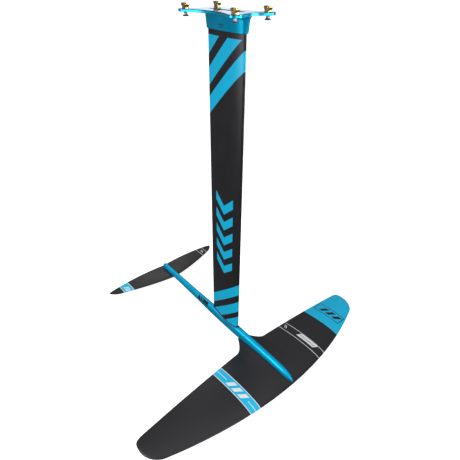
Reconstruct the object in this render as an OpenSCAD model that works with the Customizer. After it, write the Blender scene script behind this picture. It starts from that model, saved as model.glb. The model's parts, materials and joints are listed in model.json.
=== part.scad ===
// Hydrofoil: base plate, mast, fuselage, front wing and stabiliser.
// Origin: middle of the base plate's top face, which sits against the board.
// +Z is up, -Y is forwards and +X is to port. All sizes are in millimetres.

/* [Base plate] */
// Distance between the screw rows across the board
screw_gap_x = 90; // [80:1:100]
// Distance between the screw rows along the board
screw_gap_y = 165; // [150:1:180]
// Thickness of the plate
plate_t = 6; // [5.5:0.5:8]
// Radius of the rounded corners, round each screw
corner_r = 16; // [14:0.5:18]
// Half width of the plate at its waist
waist_half = 38; // [34:0.5:42]
// Depth of the collar below the plate's top face
collar_depth = 39; // [30:1:50]
// Wall of the collar at its lower lip
collar_wall = 3.4; // [3:0.2:6]

/* [Mast] */
// Height of the mast from its head to its foot
mast_h = 925; // [600:5:1000]
// Chord of the mast section
mast_chord = 128; // [115:1:135]
// Thickness of the mast section
mast_t = 16; // [14:0.5:18]
// Wall of the hollow mast section
mast_wall = 2.2; // [1.8:0.1:2.8]
// Length of the threaded block bonded in each end
insert_h = 40; // [30:1:60]

/* [Front wing] */
// Half of the wing span
wing_half = 444; // [380:1:480]
// How far the tips lie below the middle
wing_droop = 29.6; // [10:0.2:45]
// Thickness of the section as a part of its chord
wing_t_ratio = 0.09; // [0.08:0.005:0.11]

/* [Stabiliser] */
// Half of the stabiliser span
stab_half = 241; // [220:1:260]
// How far its tips lie below its middle
stab_droop = 14; // [5:0.5:20]
// Thickness of the section as a part of its chord
stab_t_ratio = 0.085; // [0.08:0.005:0.1]

/* [Board screws and nuts] */
// Length of the plate screws, head included
plate_screw_l = 25; // [22:1:30]
// How far each screw hangs below its seat with the foil off the board
screw_drop = 10; // [6:0.5:10]
// Height of a track nut
nut_h = 11; // [10:0.5:12]

/* [Hidden] */
$fn = 64;
eps = 0.01;

// Mast place and section
mast_le = -68;            // leading edge of the mast
mast_te_t = 1.6;          // thickness of its trailing edge
mast_top = -11;           // head of the mast, against the socket's ceiling
mast_bottom = mast_top - mast_h;
mast_steps = 20;          // facets on each side of the section
// Hollows between the webs, as distances behind the leading edge on a chord of 128
chambers = [for (c = [[10, 18], [21, 88], [91, 110]]) c * mast_chord / 128 + [mast_le, mast_le]];
socket_gap = 0.1;         // play round the mast in the collar
bond_gap = 0.1;           // glue line round the threaded blocks
mast_screw_y = [-38, -14, 10];
mast_screw_l = [30, 35];  // length of the screws at the head and at the foot

// Base plate details
pocket_depth = 4.5;
pocket_half_w = 6.6;
pocket_y = [-53.4, 45.4]; // centres of the pocket's two round ends
spot_r = 8;
spot_depth = 0.3;
end_half = 85;            // half length of the plate on its centre line
fillet_front = 9.2;       // radius where the collar meets the plate, at the front
fillet_rear = 5;          // and at the rear
flange_wall = 6;          // wall of the collar at the fillet
seat_z = -plate_t + 1;    // where the heads of the plate screws come to rest

// Each corner of the plate as [X, Y]: front port, front starboard, rear port, rear starboard
corners = [for (sy = [-1, 1], sx = [1, -1]) [sx * screw_gap_x / 2, sy * screw_gap_y / 2]];
nut_base = -spot_depth;

// Screws, as [shank radius, head radius, key radius]
m8 = [4, 7.75, 2.9];
m6 = [3, 6, 2.3];
m5 = [2.5, 4.7, 1.7];
fit_gap = 0.05;           // radial play of a thread, taken as a plain bore
hole_gap = 0.25;          // radial play of a clearance hole, and of a head in its seat

// Everything below the mast is drawn for a mast whose foot is here, and moves with it
drawn_foot = -936;

// Fuselage, as [Y, half width, top, bottom]
fuselage_line = [
    [-312, 3.4, -941, -949.4], [-306, 6.2, -935.5, -950.2], [-296, 8.5, -929.5, -950.8],
    [-280, 10.2, -924.5, -951], [-250, 11, -921.5, -951], [-200, 11.5, -920, -951.5],
    [-120, 12.1, -919, -953], [-70, 12.7, -918.3, -955], [0, 13, -918, -955.5],
    [65, 12.6, -918, -954.5], [130, 11.8, -919, -950.5], [220, 10.8, -920.5, -946],
    [300, 10, -921.5, -942.8], [355, 9.4, -922.5, -941.2], [376, 8.9, -923, -940.8],
    [383, 7.2, -925.2, -939.6]
];
fuselage_steps = 28;
belly = 0.32;             // height of the widest point, from the bottom
foot_pocket_gap = 1;      // rubber round the mast's foot
gasket_top = -923.5;
foot_head_z = -951;       // heads of the mast's foot screws

// Joint faces between the fuselage and the two wings, as [Y, Z]
wing_seat = [[-330, -948.8], [-314, -948], [-290, -941.5], [-150, -941.5], [-84, -949.5]];
stab_seat = [[290, -945], [304, -942.8], [312, -940.8], [400, -940.8]];
seat_gap = 0.15;          // play round the fuselage in the wings' saddles
seat_deep = 40;           // height of the block that cuts a joint face
seat_half = 20;           // and its half width

// Thread inserts, as [radius, height]; each hole for one is 0.05 wider and 1 deeper
wing_insert = [4.5, 12];
stab_insert = [4, 10];

// Front wing outline, taken at a half span of 444 and scaled with it
drawn_wing_half = 444;
wing_le = -318.4;
wing_z = -950;
wing_root_half = 58;      // where the concave root flare begins
wing_flare = 44;          // width of the flare on each side
wing_root_te = -85;
wing_te = -131;
wing_te_slope = 0.047;
wing_max_chord = 190;
wing_camber = 0.02;
wing_screw_y = [-270, -225, -180];
wing_screw_l = 23;
wing_head_z = -955;

// Stabiliser outline, taken at a half span of 241 and scaled with it
drawn_stab_half = 241;
stab_le = 306;
stab_te = 402.5;
stab_z = -942.8;
stab_camber = -0.01;
stab_screw_y = [332, 358];
stab_screw_l = 14;
stab_head_z = -946;

// Thickness of a symmetric foil at a part s of its chord
function foil_half(s, t) =
    5 * t * (0.2969 * sqrt(s) - 0.126 * s - 0.3516 * s * s + 0.2843 * pow(s, 3) - 0.1036 * pow(s, 4));

// A point of a foil outline: u runs from the trailing edge, -1, round the nose, 0, to 1
function foil_pt(u, le, chord, t, te) =
    [sign(u) * (foil_half(u * u, t) + te / 2 * u * u), le + chord * u * u];

function mast_pt(u) = foil_pt(u, mast_le, mast_chord, mast_t, mast_te_t);
function unit(v) = v / norm(v);
function mast_normal(u) =
    let (a = mast_pt(max(u - 0.01, -1)), b = mast_pt(min(u + 0.01, 1)), d = unit(b - a))
    [d[1], -d[0]];

// The mast outline, moved outwards by g, with a round end behind the trailing edge
function mast_outline(g) = concat(
    [for (i = [-mast_steps : mast_steps]) let (u = i / mast_steps) mast_pt(u) + g * mast_normal(u)],
    g > 2 ? [for (a = [30 : 30 : 150]) [g * cos(a), mast_le + mast_chord + g * sin(a)]] : []
);

// Half width inside the mast at Y
function mast_inside(y, g) =
    let (s = (y - mast_le) / mast_chord) foil_half(s, mast_t) + mast_te_t / 2 * s - mast_wall - g;

// Outline of one chamber of the mast, made smaller by g
function chamber_outline(c, g) =
    let (y0 = c[0] + g, y1 = c[1] - g, ys = [for (i = [0 : 6]) y0 + (y1 - y0) * i / 6])
    concat([for (y = ys) [mast_inside(y, g), y]],
           [for (i = [6 : -1 : 0]) [-mast_inside(ys[i], g), ys[i]]]);

// Outline of the front wing at X
function wing_x(x) = abs(x) * drawn_wing_half / wing_half;
function wing_le_y(x) =
    let (a = wing_x(x), t = min(max((a - 400) / 44, 0), 1), b = min(a, 400))
    wing_le + 0.00048 * b * b + 16.9 * t + 44.7 * (1 - sqrt(1 - t * t));
function root_blend(x) = min(max((wing_root_half - wing_x(x)) / wing_flare, 0), 1);
function wing_te_y(x) =
    let (a = wing_x(x), t = min(max((a - 408) / 36, 0), 1))
    wing_te - wing_te_slope * max(a - wing_root_half, 0) - 31 * (1 - pow(1 - pow(t, 4), 0.25))
    + (wing_root_te - wing_te) * pow(root_blend(x), 1.6);
function wing_z_at(x) = wing_z - wing_droop * pow(abs(x) / wing_half, 1.97);

// Outline of the stabiliser at X
function stab_x(x) = abs(x) * drawn_stab_half / stab_half;
function stab_tip(x) = min(max((stab_x(x) - 205) / 36, 0), 1);
function stab_le_y(x) =
    stab_le + 0.0193 * pow(stab_x(x), 1.5) + 20 * (1 - sqrt(1 - pow(stab_tip(x), 2)));
function stab_te_y(x) =
    stab_te - 9 * pow((165 - stab_x(x)) / 165, 2) - 6 * (1 - pow(1 - pow(stab_tip(x), 4), 0.25));
function stab_z_at(x) = stab_z - stab_droop * pow(abs(x) / stab_half, 2);

// One section of a wing at X: a cambered foil between its leading and trailing edges
function wing_section(x, y0, y1, z, t, camber, te, steps) = [
    for (i = [-steps : steps])
        let (u = i / steps, s = u * u, p = foil_pt(u, y0, y1 - y0, t, te))
        [x, p[1], z + 4 * camber * s * (1 - s) + p[0]]
];
function front_section(x) =
    let (y0 = wing_le_y(x), y1 = wing_te_y(x), c = min(y1 - y0, wing_max_chord))
    wing_section(x, y0, y1, wing_z_at(x), wing_t_ratio * c, wing_camber * c,
                 1.2 + 4.8 * pow(root_blend(x), 1.5), 14);
function stab_section(x) =
    let (y0 = stab_le_y(x), y1 = stab_te_y(x), c = y1 - y0)
    wing_section(x, y0, y1, stab_z_at(x), stab_t_ratio * c, stab_camber * c, 0.9, 11);

// Stations from one tip to the other, closer together towards the tips
function both_sides(xs) = concat([for (i = [len(xs) - 1 : -1 : 1]) -xs[i]], xs);
wing_stations = both_sides(concat(
    [for (i = [0 : 6]) wing_root_half * i / 6],
    [for (i = [1 : 12]) wing_root_half + (wing_half - wing_root_half) * sin(88.4 * i / 12)]
));
stab_stations = both_sides([for (i = [0 : 11]) stab_half * sin(88 * i / 11)]);

// A ring of the fuselage: round on top, fuller below
function signed_pow(v, e) = sign(v) * pow(abs(v), e);
function fuselage_ring(l) =
    let (zc = l[3] + belly * (l[2] - l[3]))
    [for (i = [0 : fuselage_steps - 1])
        let (a = 360 * i / fuselage_steps, e = sin(a) > 0 ? 2 / 2.3 : 2 / 2.7)
        [l[1] * signed_pow(cos(a), e), l[0],
         zc + signed_pow(sin(a), e) * (sin(a) > 0 ? l[2] - zc : zc - l[3])]];
function fuselage_half(y) = lookup(y, [for (l = fuselage_line) [l[0], l[1]]]);

// A closed skin over rings that all have the same number of points
module loft(rings) {
    m = len(rings);
    n = len(rings[0]);
    polyhedron(
        points = [for (r = rings) each r],
        faces = concat(
            [[for (i = [n - 1 : -1 : 0]) i]],
            [for (k = [0 : m - 2]) for (i = [0 : n - 1])
                [k * n + i, k * n + (i + 1) % n, (k + 1) * n + i]],
            [for (k = [0 : m - 2]) for (i = [0 : n - 1])
                [k * n + (i + 1) % n, (k + 1) * n + (i + 1) % n, (k + 1) * n + i]],
            [[for (i = [0 : n - 1]) (m - 1) * n + i]]
        ),
        convexity = 6
    );
}

// A slab across X, 2 * half wide, with the given outline in Y and Z
module across(half, outline)
    translate([-half, 0, 0]) rotate([90, 0, 90]) linear_extrude(2 * half) polygon(outline);

// Everything above or below a joint line
module above(line, half)
    across(half, concat(line, [[line[len(line) - 1][0], line[0][1] + seat_deep],
                               [line[0][0], line[0][1] + seat_deep]]));
module below(line, half)
    across(half, concat(line, [[line[len(line) - 1][0], line[0][1] - seat_deep],
                               [line[0][0], line[0][1] - seat_deep]]));

// Screw standing on its head: flat of the head at z = 0, shank upwards to l
module countersunk_screw(size, l) {
    cone_h = size[1] - size[0];
    difference() {
        union() {
            cylinder(r1 = size[1], r2 = size[0], h = cone_h);
            translate([0, 0, cone_h - eps]) cylinder(r = size[0], h = l - cone_h + eps);
        }
        translate([0, 0, -1]) cylinder(r = size[2], h = 1 + cone_h * 0.7, $fn = 6);
    }
}

// The room such a screw needs: head room below z = 0, seat and clearance hole above
module screw_room(size, l, head_room) {
    big = size[1] + hole_gap;
    translate([0, 0, -head_room]) cylinder(r = big, h = head_room);
    cylinder(r1 = big, r2 = size[0], h = big - size[0]);
    translate([0, 0, -eps]) cylinder(r = size[0] + hole_gap, h = l);
}

module mirrored_down(z) translate([0, 0, z]) mirror([0, 0, 1]) children();

// Moves what is drawn round the drawn foot to the mast's foot
module at_foot() translate([0, 0, mast_bottom - drawn_foot]) children();

// Base plate with its collar

// Radius of the hollow that touches both corner circles, and passes inset inside their centres
function hollow_r(reach, inset) =
    (reach * reach + inset * inset - corner_r * corner_r) / (2 * (corner_r + inset));

module plate_blank() {
    half = [screw_gap_x / 2, screw_gap_y / 2];
    side_r = hollow_r(half[1], half[0] - waist_half);
    end_r = hollow_r(half[0], half[1] - end_half);
    side_c = [waist_half + side_r, 0];
    end_c = [0, end_half + end_r];
    side_touch = half + corner_r * unit(side_c - half);
    end_touch = half + corner_r * unit(end_c - half);
    difference() {
        translate([0, 0, -plate_t]) union() {
            for (t = [side_touch, end_touch])
                translate([-t[0], -t[1], 0]) cube([2 * t[0], 2 * t[1], plate_t]);
            for (x = [-1, 1], y = [-1, 1])
                translate([x * half[0], y * half[1], 0]) cylinder(r = corner_r, h = plate_t);
        }
        for (s = [-1, 1]) {
            translate([s * side_c[0], 0, -plate_t - 1]) cylinder(r = side_r, h = plate_t + 2, $fn = 180);
            translate([0, s * end_c[1], -plate_t - 1]) cylinder(r = end_r, h = plate_t + 2, $fn = 180);
        }
    }
}

module collar_blank() {
    lip = mast_outline(collar_wall);
    root = mast_outline(flange_wall);
    wide = mast_outline(flange_wall + fillet_front);
    function flare_r(p) =
        let (k = (mast_le + mast_chord - p[1]) / mast_chord)
        fillet_rear + (fillet_front - fillet_rear) * min(max(k, 0), 1);
    function ring(a, lift) = [
        for (i = [0 : len(root) - 1])
            let (r = flare_r(root[i]), out = r * (1 - cos(a)) / fillet_front,
                 p = root[i] + out * (wide[i] - root[i]))
            [p[0], p[1], lift == 0 ? -plate_t - r * (1 - sin(a)) : lift - plate_t]
    ];
    loft(concat(
        [ring(90, 3)],
        [for (a = [90 : -18 : 0]) ring(a, 0)],
        [[for (p = lip) [p[0], p[1], -collar_depth]]]
    ));
}

module base_plate() {
    color("darkcyan") difference() {
        union() {
            plate_blank();
            collar_blank();
        }
        translate([0, 0, -collar_depth - 1])
            linear_extrude(collar_depth + 1 + mast_top) polygon(mast_outline(socket_gap));
        for (y = pocket_y) translate([0, y, -pocket_depth])
            cylinder(r = pocket_half_w, h = pocket_depth + 1);
        translate([-pocket_half_w, pocket_y[0], -pocket_depth])
            cube([2 * pocket_half_w, pocket_y[1] - pocket_y[0], pocket_depth + 1]);
        for (y = mast_screw_y) translate([0, y, 0]) mirrored_down(-pocket_depth) screw_room(m6, 12, 1);
        for (c = corners) translate([c[0], c[1], 0]) {
            translate([0, 0, seat_z]) screw_room(m8, plate_t + 2, 3);
            translate([0, 0, -spot_depth]) cylinder(r = spot_r, h = spot_depth + 1);
        }
    }
}

// Mast with its two threaded blocks

module mast()
    color("dimgray") translate([0, 0, mast_bottom]) linear_extrude(mast_h) difference() {
        polygon(mast_outline(0));
        for (c = chambers) polygon(chamber_outline(c, 0));
    }

module threaded_block()
    difference() {
        linear_extrude(insert_h) polygon(chamber_outline(chambers[1], bond_gap));
        for (y = mast_screw_y) translate([0, y, -1]) cylinder(r = m6[0] + fit_gap, h = insert_h + 2);
    }

module mast_head_insert()
    color("silver") translate([0, 0, mast_top - insert_h]) threaded_block();

module mast_foot_insert()
    color("silver") translate([0, 0, mast_bottom]) threaded_block();

module mast_head_screws()
    color("lightgray") for (y = mast_screw_y)
        translate([0, y, 0]) mirrored_down(-pocket_depth - hole_gap) countersunk_screw(m6, mast_screw_l[0]);

module mast_foot_screws()
    color("lightgray") at_foot() for (y = mast_screw_y)
        translate([0, y, foot_head_z + hole_gap]) countersunk_screw(m6, mast_screw_l[1]);

module foot_gasket()
    color("black") translate([0, 0, mast_bottom]) linear_extrude(gasket_top - drawn_foot) difference() {
        polygon(mast_outline(foot_pocket_gap - 0.05));
        polygon(mast_outline(0.05));
    }

// Fuselage

module fuselage()
    color("darkcyan") at_foot() difference() {
        loft([for (l = fuselage_line) fuselage_ring(l)]);
        below(wing_seat, seat_half);
        below(stab_seat, seat_half);
        translate([0, 0, drawn_foot]) linear_extrude(seat_deep) polygon(mast_outline(foot_pocket_gap));
        for (y = mast_screw_y) translate([0, y, foot_head_z]) screw_room(m6, 30, 10);
        insert_holes(wing_screw_y, wing_seat[2][1], wing_insert);
        insert_holes(stab_screw_y, stab_seat[2][1], stab_insert);
    }

// A row of thread inserts standing on z, for screws of a given shank radius, and their holes
module thread_inserts(ys, z, insert, shank)
    color("lightgray") at_foot() for (y = ys) translate([0, y, z]) difference() {
        cylinder(r = insert[0], h = insert[1]);
        translate([0, 0, -1]) cylinder(r = shank + fit_gap, h = insert[1] + 2);
    }
module insert_holes(ys, z, insert)
    for (y = ys) translate([0, y, z - 1]) cylinder(r = insert[0] + fit_gap, h = insert[1] + 1);

// Front wing

// Plan of the slot that the fuselage's front lies in, open at the wing's trailing edge
function saddle_side(s) = concat(
    [[s * (fuselage_line[0][1] + seat_gap), wing_seat[0][0]]],
    [for (l = fuselage_line) if (l[0] < wing_root_te) [s * (l[1] + seat_gap), l[0] - seat_gap]],
    [[s * (fuselage_half(wing_root_te) + seat_gap), wing_root_te + 5]]
);
function reversed(v) = [for (i = [len(v) - 1 : -1 : 0]) v[i]];

module front_wing()
    color("#26282b") at_foot() difference() {
        loft([for (x = wing_stations) front_section(x)]);
        intersection() {
            above(wing_seat, seat_half);
            translate([0, 0, wing_z - seat_deep]) linear_extrude(2 * seat_deep)
                polygon(concat(saddle_side(1), reversed(saddle_side(-1))));
        }
        for (y = wing_screw_y) translate([0, y, wing_head_z]) screw_room(m6, 20, 10);
    }

module front_wing_screws()
    color("lightgray") at_foot() for (y = wing_screw_y)
        translate([0, y, wing_head_z + hole_gap]) countersunk_screw(m6, wing_screw_l);

module front_wing_thread_inserts() thread_inserts(wing_screw_y, wing_seat[2][1], wing_insert, m6[0]);

// Stabiliser

module stabiliser()
    color("#26282b") at_foot() difference() {
        loft([for (x = stab_stations) stab_section(x)]);
        above(stab_seat, fuselage_half(stab_seat[2][0]) + seat_gap);
        for (y = stab_screw_y) translate([0, y, stab_head_z]) screw_room(m5, 20, 10);
    }

module stabiliser_screws()
    color("lightgray") at_foot() for (y = stab_screw_y)
        translate([0, y, stab_head_z + hole_gap]) countersunk_screw(m5, stab_screw_l);

module stabiliser_thread_inserts() thread_inserts(stab_screw_y, stab_seat[2][1], stab_insert, m5[0]);

// Track nuts and plate screws

module track_nut(corner) {
    flank = [[5.8, 0], [5.8, 3], [9, 7.5], [9, nut_h - 0.6], [8.4, nut_h], [5.2, nut_h]];
    valley = [for (a = [0 : 30 : 180]) [4.6 * cos(a), nut_h - 1.2 - 4 * sin(a)]];
    color("goldenrod") translate([corner[0], corner[1], nut_base]) difference() {
        across(5, concat(flank, valley, [for (i = [5 : -1 : 0]) [-flank[i][0], flank[i][1]]]));
        translate([0, 0, -1]) cylinder(r = m8[0] + fit_gap, h = nut_h + 2);
    }
}

module plate_screw(corner)
    color("silver") translate([corner[0], corner[1], seat_z - screw_drop])
        countersunk_screw(m8, plate_screw_l);

module track_nut_front_port() track_nut(corners[0]);
module track_nut_front_starboard() track_nut(corners[1]);
module track_nut_rear_port() track_nut(corners[2]);
module track_nut_rear_starboard() track_nut(corners[3]);
module plate_screw_front_port() plate_screw(corners[0]);
module plate_screw_front_starboard() plate_screw(corners[1]);
module plate_screw_rear_port() plate_screw(corners[2]);
module plate_screw_rear_starboard() plate_screw(corners[3]);

base_plate();
mast();
mast_head_insert();
mast_foot_insert();
mast_head_screws();
mast_foot_screws();
foot_gasket();
fuselage();
front_wing();
front_wing_screws();
front_wing_thread_inserts();
stabiliser();
stabiliser_screws();
stabiliser_thread_inserts();
track_nut_front_port();
track_nut_front_starboard();
track_nut_rear_port();
track_nut_rear_starboard();
plate_screw_front_port();
plate_screw_front_starboard();
plate_screw_rear_port();
plate_screw_rear_starboard();
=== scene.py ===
import json
import math

import bmesh
import bpy
import numpy as np
from bpy.props import FloatProperty, FloatVectorProperty, PointerProperty
from bpy.types import Operator, Panel, PropertyGroup
from mathutils import Matrix, Vector
from mathutils.geometry import tessellate_polygon

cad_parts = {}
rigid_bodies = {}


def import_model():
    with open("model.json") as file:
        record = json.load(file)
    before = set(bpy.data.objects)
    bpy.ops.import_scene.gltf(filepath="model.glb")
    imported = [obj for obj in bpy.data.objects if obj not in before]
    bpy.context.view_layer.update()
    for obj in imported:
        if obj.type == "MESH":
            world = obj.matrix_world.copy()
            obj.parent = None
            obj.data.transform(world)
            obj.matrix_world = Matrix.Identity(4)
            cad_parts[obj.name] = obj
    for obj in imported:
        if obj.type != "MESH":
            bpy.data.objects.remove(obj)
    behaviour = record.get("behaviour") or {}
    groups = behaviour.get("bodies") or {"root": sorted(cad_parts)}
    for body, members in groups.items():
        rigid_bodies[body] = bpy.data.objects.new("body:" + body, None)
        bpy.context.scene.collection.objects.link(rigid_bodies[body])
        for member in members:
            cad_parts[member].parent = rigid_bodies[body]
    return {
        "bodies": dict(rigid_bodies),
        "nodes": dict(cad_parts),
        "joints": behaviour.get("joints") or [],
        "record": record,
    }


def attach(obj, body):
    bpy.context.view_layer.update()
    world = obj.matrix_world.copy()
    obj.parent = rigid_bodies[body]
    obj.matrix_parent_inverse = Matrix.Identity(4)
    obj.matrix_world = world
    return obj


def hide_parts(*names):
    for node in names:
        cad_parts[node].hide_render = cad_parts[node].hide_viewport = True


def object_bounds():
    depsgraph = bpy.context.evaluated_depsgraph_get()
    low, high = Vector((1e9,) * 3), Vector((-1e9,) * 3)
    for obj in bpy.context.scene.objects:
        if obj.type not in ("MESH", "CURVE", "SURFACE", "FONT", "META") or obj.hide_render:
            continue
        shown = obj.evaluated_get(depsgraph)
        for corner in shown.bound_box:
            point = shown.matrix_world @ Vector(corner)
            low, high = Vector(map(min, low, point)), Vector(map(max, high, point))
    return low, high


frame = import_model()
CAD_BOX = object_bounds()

bl_info = {
    "name": "Hydrofoil",
    "version": (1, 0, 0),
    "blender": (4, 5, 0),
    "location": "3D View > Sidebar > Hydrofoil",
    "description": "Builds the visible pieces of a board hydrofoil round its fixed frame",
    "category": "Object",
}

MM = 0.001

# Mast section, in millimetres
MAST_LE, MAST_CHORD, MAST_T, MAST_TE = -68.0, 128.0, 16.0, 1.6
MAST_TOP, MAST_BOTTOM = -11.0, -936.0
MAST_SCREW_Y = (-38.0, -14.0, 10.0)

# Base plate
PLATE_T = 6.0
CORNER_R = 16.0
WAIST_HALF, END_HALF = 38.0, 85.0
HOLE_X, HOLE_Y = 45.0, 82.5
POCKET_Z, POCKET_HALF, POCKET_Y = -4.5, 6.6, (-53.4, 45.4)
SEAT_Z, SPOT_Z, SCREW_DROP = -5.0, -0.3, 10.0
FLANGE_WALL, LIP_WALL, COLLAR_Z = 6.0, 3.4, -39.0
FLARE_FRONT, FLARE_REAR = 9.2, 5.0
CORNERS = {
    "front_port": (HOLE_X, -HOLE_Y),
    "front_starboard": (-HOLE_X, -HOLE_Y),
    "rear_port": (HOLE_X, HOLE_Y),
    "rear_starboard": (-HOLE_X, HOLE_Y),
}

# Fuselage, as Y, half width, top and bottom
NOSE_Y = -314.8
FUSELAGE = np.array([
    [NOSE_Y, 0, -946.9, -946.9],
    [-312, 3.4, -941, -949.4], [-306, 6.2, -935.5, -950.2], [-296, 8.5, -929.5, -950.8],
    [-280, 10.2, -924.5, -951], [-250, 11, -921.5, -951], [-200, 11.5, -920, -951.5],
    [-120, 12.1, -919, -953], [-70, 12.7, -918.3, -955], [0, 13, -918, -955.5],
    [65, 12.6, -918, -954.5], [130, 11.8, -919, -950.5], [220, 10.8, -920.5, -946],
    [300, 10, -921.5, -942.8], [355, 9.4, -922.5, -941.2], [376, 8.9, -923, -940.8],
    [383, 7.2, -925.2, -939.6],
])
BELLY = 0.32
TOP_POWER, BELLY_POWER = 2 / 2.3, 2 / 2.7
WING_SEAT = ((-330, -948.8), (-314, -948), (-290, -941.5), (-150, -941.5), (-84, -949.5))
STAB_SEAT = ((290, -945), (304, -942.8), (312, -940.8), (400, -940.8))
FOOT_HEAD_Z = -951.0
CUTTER_HALF, CUTTER_REACH = 20.0, -30.0

# Front wing: half span, nose and tail at the root, height, droop, and where the flare of
# the root and the rounding of the tip begin
WING_HALF, WING_LE, WING_TE, WING_Z, WING_DROOP = 444.0, -318.4, -131.0, -950.0, 29.6
WING_ROOT, WING_FLARE, WING_TIP_LE, WING_TIP_TE = 58.0, 44.0, 400.0, 408.0
WING_SCREW_Y, WING_HEAD_Z = (-270.0, -225.0, -180.0), -955.0

# Stabiliser, in the same way
STAB_HALF, STAB_LE, STAB_TE, STAB_Z, STAB_DROOP, STAB_TIP = 241.0, 306.0, 402.5, -942.8, 14.0, 205.0
STAB_SCREW_Y, STAB_HEAD_Z = (332.0, 358.0), -946.0
SADDLE_GAP, SADDLE_TOP = 0.15, -905.0

# Screws, as shank radius, head radius, key radius and thread pitch
M8 = (4.0, 7.75, 2.9, 1.25)
M6 = (3.0, 6.0, 2.3, 1.0)
M5 = (2.5, 4.7, 1.7, 0.8)
HOLE_GAP, FIT_GAP = 0.25, 0.05

# Threaded inserts of the fuselage, as radius, seat and top of the hole
WING_INSERT = (4.5, -945.0, -929.5)
STAB_INSERT = (4.0, -945.0, -930.8)

# Track nut: half width along the rail, height, and a corner-to-corner half section
NUT_HALF, NUT_H = 5.0, 11.0
NUT_FLANK = ((5.8, 0), (5.8, 3), (9, 7.5), (9, 10.4), (8.4, 11), (5.2, 11))
NUT_VALLEY = (4.6, 9.8, 4.0)

# Lights, as name, place, target, size, share of the key light's power, and spread
LIGHTS = (
    ("key", (-2.3, 0.5, 0.0), (0, 0, -0.45), (1.2, 1.2), 1.0, 180),
    ("front", (-0.6, -2.4, 0.2), (0, 0, -0.4), (0.9, 0.9), 0.85, 180),
    ("nose", (1.5, -2.2, -0.1), (0, -0.07, -0.02), (0.5, 0.9), 0.045, 14),
    ("rear", (0.9, 2.3, 0.8), (0, 0.35, -0.95), (1.0, 1.0), 0.025, 70),
    ("backdrop", (1.9, 2.3, 0.45), (0, 0, 0.35), (3.0, 0.8), 0.0055, 28),
)

# Camera: place, axes to the right and ahead, roll, focal length and sensor width
CAMERA_PLACE = (-0.60475, -0.71767, 0.07025)
CAMERA_RIGHT, CAMERA_AHEAD = (0.75465, -0.65613, 0), (0.54389, 0.62554, -0.55936)
CAMERA_ROLL, CAMERA_LENS, CAMERA_SENSOR = 0.010158, 30.16, 36.0

# Grey of the studio's light from straight below, 0, to straight above, 1
SKY = ((0.0, 0.15), (1.0, 1.6), (0.45, 0.2), (0.55, 0.3), (0.8, 0.4), (0.925, 0.9))


# ---------------------------------------------------------------- numpy shapes


def foil_half(s, t):
    """Half thickness of a symmetric foil t thick at parts s of its chord: a square root
    for the round nose plus a fourth-degree polynomial that closes the tail."""
    return 5 * t * (0.2969 * np.sqrt(s) - 0.126 * s - 0.3516 * s**2 + 0.2843 * s**3 - 0.1036 * s**4)


def mast_point(u):
    """Mast section at u, from -1 at one side's tail through 0 at the nose to 1: the chord
    position goes with the square of u, so that points crowd round the nose."""
    side = foil_half(u * u, MAST_T) + MAST_TE / 2 * u * u
    return np.stack([np.sign(u) * side, MAST_LE + MAST_CHORD * u * u], -1)


def mast_loop(g, steps=60, tail=11):
    """The mast section moved outwards by g along its normals, closed behind the tail by
    an arc of radius g that is stretched sideways by the tail's thickness."""
    u = np.linspace(-1, 1, 2 * steps + 1)
    d = mast_point(np.minimum(u + 0.004, 1)) - mast_point(np.maximum(u - 0.004, -1))
    n = np.stack([d[:, 1], -d[:, 0]], -1) / np.linalg.norm(d, axis=1)[:, None]
    a0 = math.atan2(n[-1, 1], n[-1, 0])
    a = np.linspace(a0, math.pi - a0, tail + 2)[1:-1]
    rear = np.stack([(MAST_TE / 2 / math.cos(a0) + g) * np.cos(a),
                     MAST_LE + MAST_CHORD + g * np.sin(a)], -1)
    return np.concatenate([mast_point(u) + g * n, rear])


def at_z(loop, z):
    """A flat loop lifted to height z, which may differ from point to point."""
    return np.concatenate([loop, np.broadcast_to(np.asarray(z, float), len(loop))[:, None]], 1)


def circle(x, y, r, n=48):
    """n points round a circle, anticlockwise from +X."""
    a = np.arange(n) * 2 * math.pi / n
    return np.stack([x + r * np.cos(a), y + r * np.sin(a)], -1)


def arc(centre, r, a0, a1, n):
    """n points along an arc, its first end left out."""
    a = np.linspace(a0, a1, n + 1)[1:]
    return np.stack([centre[0] + r * np.cos(a), centre[1] + r * np.sin(a)], -1)


def plate_loop(g):
    """Outline of the base plate moved outwards by g: a hollow side, a round corner and a
    hollow end, each tangent to the next, mirrored into all four quarters."""
    def hollow(reach, inset):
        return (reach**2 + inset**2 - CORNER_R**2) / (2 * (CORNER_R + inset))

    rs = hollow(HOLE_Y, HOLE_X - WAIST_HALF)
    re = hollow(HOLE_X, HOLE_Y - END_HALF)
    side, end = (WAIST_HALF + rs, 0.0), (0.0, END_HALF + re)
    a_s = math.atan2(HOLE_Y, HOLE_X - side[0])
    a_e = math.atan2(HOLE_Y - end[1], HOLE_X)
    quarter = np.concatenate([
        [[WAIST_HALF + g, 0.0]],
        arc(side, rs - g, math.pi, a_s, 16),
        arc((HOLE_X, HOLE_Y), CORNER_R + g, a_s - math.pi, a_e + math.pi, 28),
        arc(end, re - g, a_e, -math.pi / 2, 12),
    ])
    half = np.concatenate([quarter, (quarter * [-1, 1])[::-1][1:]])
    return np.concatenate([half, -half[1:-1]])


def stadium(g, n=24):
    """Outline of the long pocket moved outwards by g: two half circles joined by lines."""
    y0, y1 = POCKET_Y
    r = POCKET_HALF + g
    a = np.linspace(0, math.pi, n + 1)
    top = np.stack([r * np.cos(a), y1 + r * np.sin(a)], -1)
    bottom = np.stack([-r * np.cos(a), y0 - r * np.sin(a)], -1)
    return np.concatenate([top, bottom])


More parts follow.
